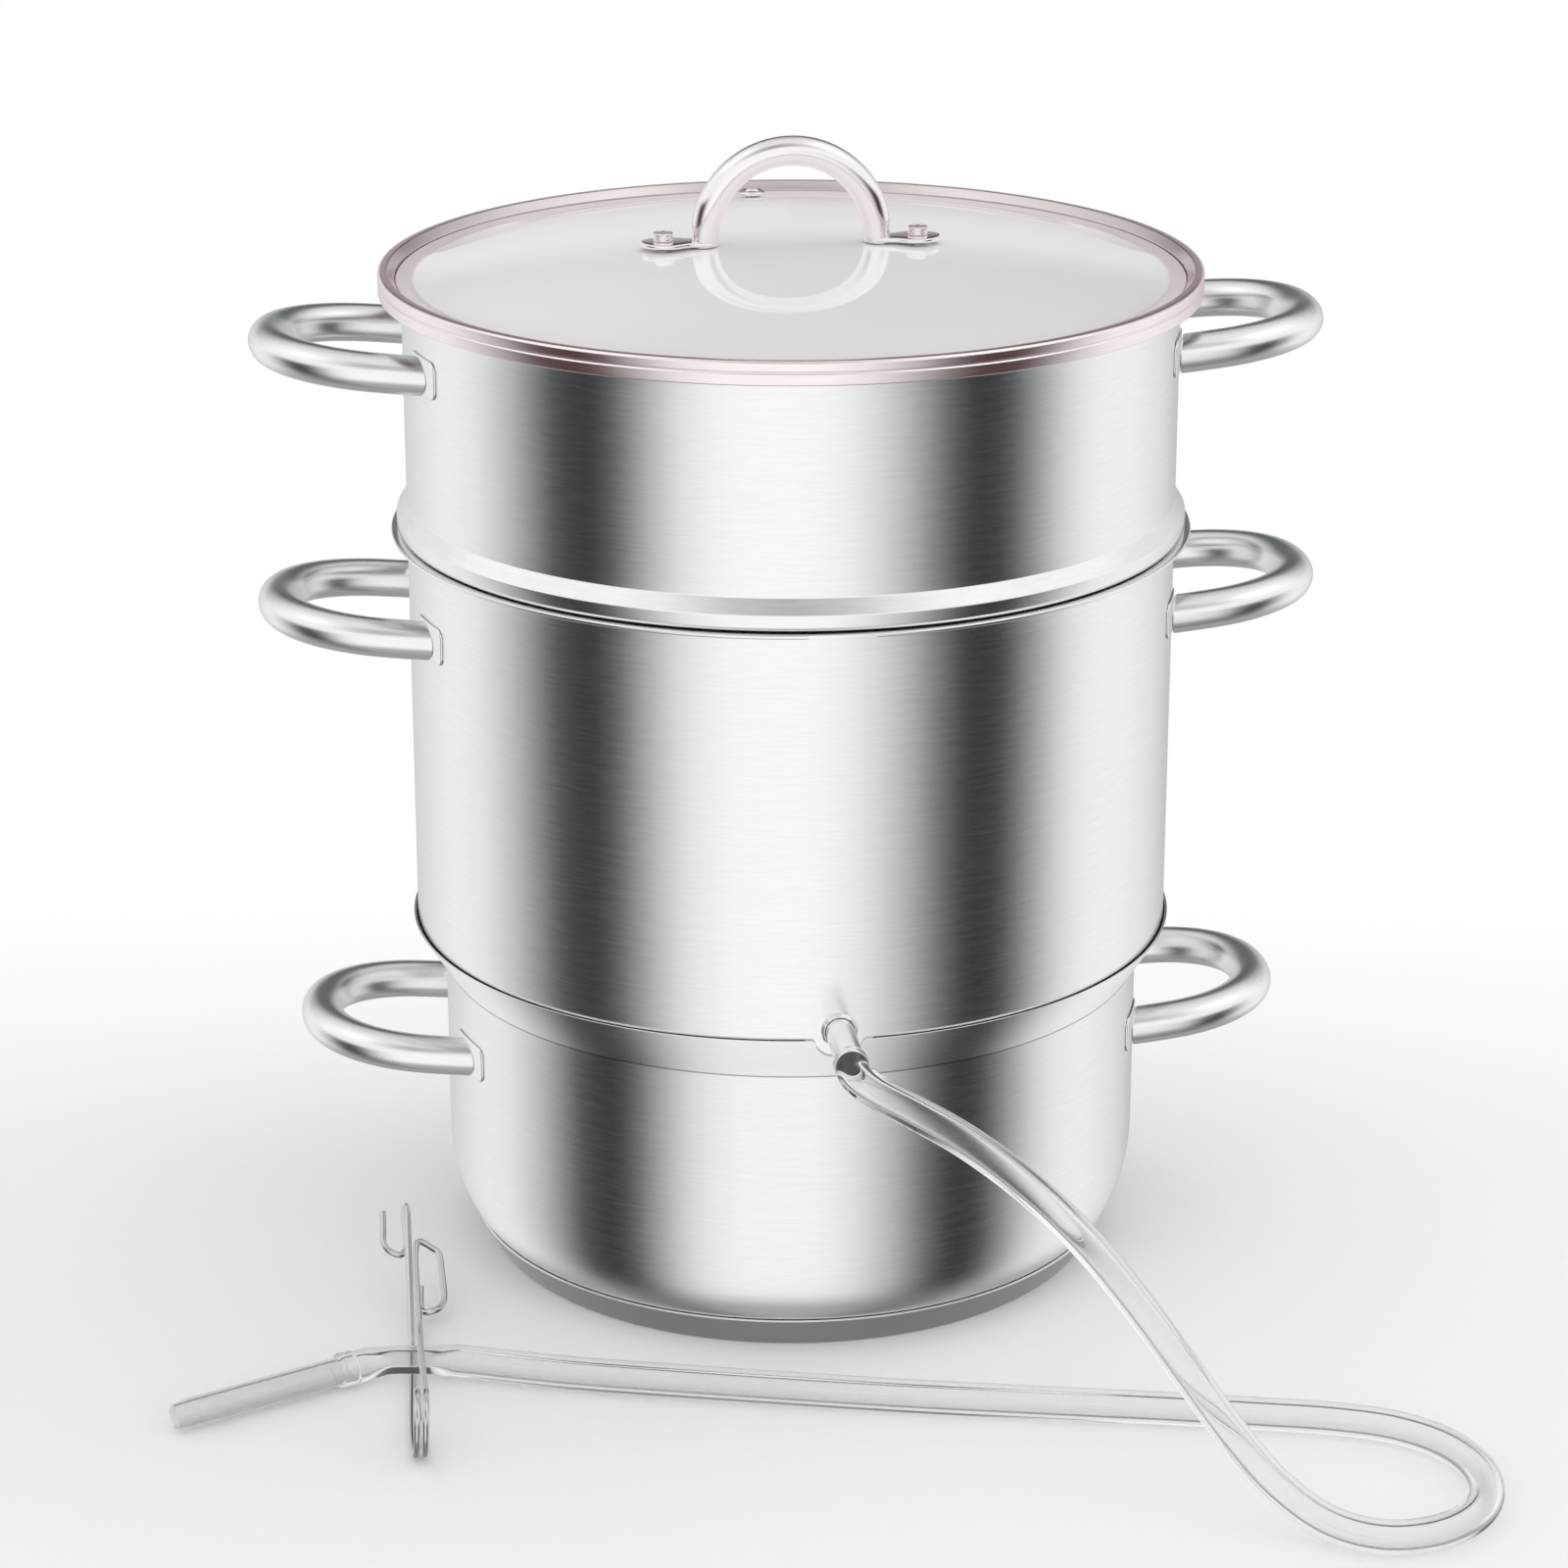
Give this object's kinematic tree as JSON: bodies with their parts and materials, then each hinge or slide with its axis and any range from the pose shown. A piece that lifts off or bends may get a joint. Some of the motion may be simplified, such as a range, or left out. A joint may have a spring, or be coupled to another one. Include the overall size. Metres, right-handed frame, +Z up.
{
  "type": "steam juicer",
  "caption": "Stacked stainless steam juicer: water pan, juice kettle with chimney and spout, strainer basket, glass lid, loop handles, drain hose and pinch clamp.",
  "frame": {"origin": "middle of the base's flat underside, on the axis of the pots", "axes": "+Z up along the axis of the pots, side handles along -X and +X, spout and hose towards -Y, lid vent towards +Y"},
  "size_m": [0.4191, 0.4161, 0.3923],
  "materials": {
    "brushed_steel": "brushed round the axis",
    "handle_steel": "satin",
    "polished_steel": "polished",
    "aluminium_core": "plain",
    "lid_steel": "satin, faintly pink",
    "lid_glass": "clear tempered glass",
    "clear_silicone": "clear, glossy",
    "nozzle_plastic": "milky, satin",
    "spring_wire": "bright drawn wire",
    "soft_washer": "matte"
  },
  "bodies": {
    "water_pan": {"pan_shell": "brushed_steel", "base_cap": "brushed_steel", "base_core": "aluminium_core", "pan_handle_right": "handle_steel", "pan_handle_left": "handle_steel", "pan_weld_seat_right_a": "polished_steel", "pan_weld_seat_right_b": "polished_steel", "pan_weld_seat_left_a": "polished_steel", "pan_weld_seat_left_b": "polished_steel"},
    "juice_kettle": {"kettle_shell": "brushed_steel", "steam_chimney": "brushed_steel", "spout_tube": "polished_steel", "spout_collar": "polished_steel", "kettle_handle_right": "handle_steel", "kettle_handle_left": "handle_steel", "kettle_weld_seat_right_a": "polished_steel", "kettle_weld_seat_right_b": "polished_steel", "kettle_weld_seat_left_a": "polished_steel", "kettle_weld_seat_left_b": "polished_steel", "hose_run": "clear_silicone", "hose_pinched_stretch": "clear_silicone", "hose_tail": "clear_silicone", "filling_nozzle": "nozzle_plastic", "clamp_lower_arm": "spring_wire"},
    "clamp_arm": {"clamp_upper_arm": "spring_wire"},
    "fruit_basket": {"basket_shell": "brushed_steel", "strainer_floor": "brushed_steel", "basket_handle_right": "handle_steel", "basket_handle_left": "handle_steel", "basket_weld_seat_right_a": "polished_steel", "basket_weld_seat_right_b": "polished_steel", "basket_weld_seat_left_a": "polished_steel", "basket_weld_seat_left_b": "polished_steel"},
    "lid": {"lid_rim": "lid_steel", "lid_glass": "lid_glass", "lid_handle": "lid_steel", "lid_screw_left": "lid_steel", "lid_screw_right": "lid_steel", "lid_washer_left": "soft_washer", "lid_washer_right": "soft_washer", "lid_nut_left": "lid_steel", "lid_nut_right": "lid_steel", "vent_eyelet": "polished_steel"}
  },
  "joints": [
    {"name": "kettle_lift", "type": "slide", "parent": "water_pan", "child": "juice_kettle", "axis": [0, 0, 1], "range_m": [0, 0.12]},
    {"name": "basket_lift", "type": "slide", "parent": "juice_kettle", "child": "fruit_basket", "axis": [0, 0, 1], "range_m": [0, 0.15]},
    {"name": "lid_lift", "type": "slide", "parent": "fruit_basket", "child": "lid", "axis": [0, 0, 1], "range_m": [0, 0.1]},
    {"name": "clamp_squeeze", "type": "hinge", "parent": "juice_kettle", "child": "clamp_arm", "pos_m": [-0.141, -0.1713, 0.0116], "axis": [1, 0, 0], "range_deg": [0, 8], "stiffness_Nm_per_rad": 1.5, "springref_deg": -17.19}
  ]
}
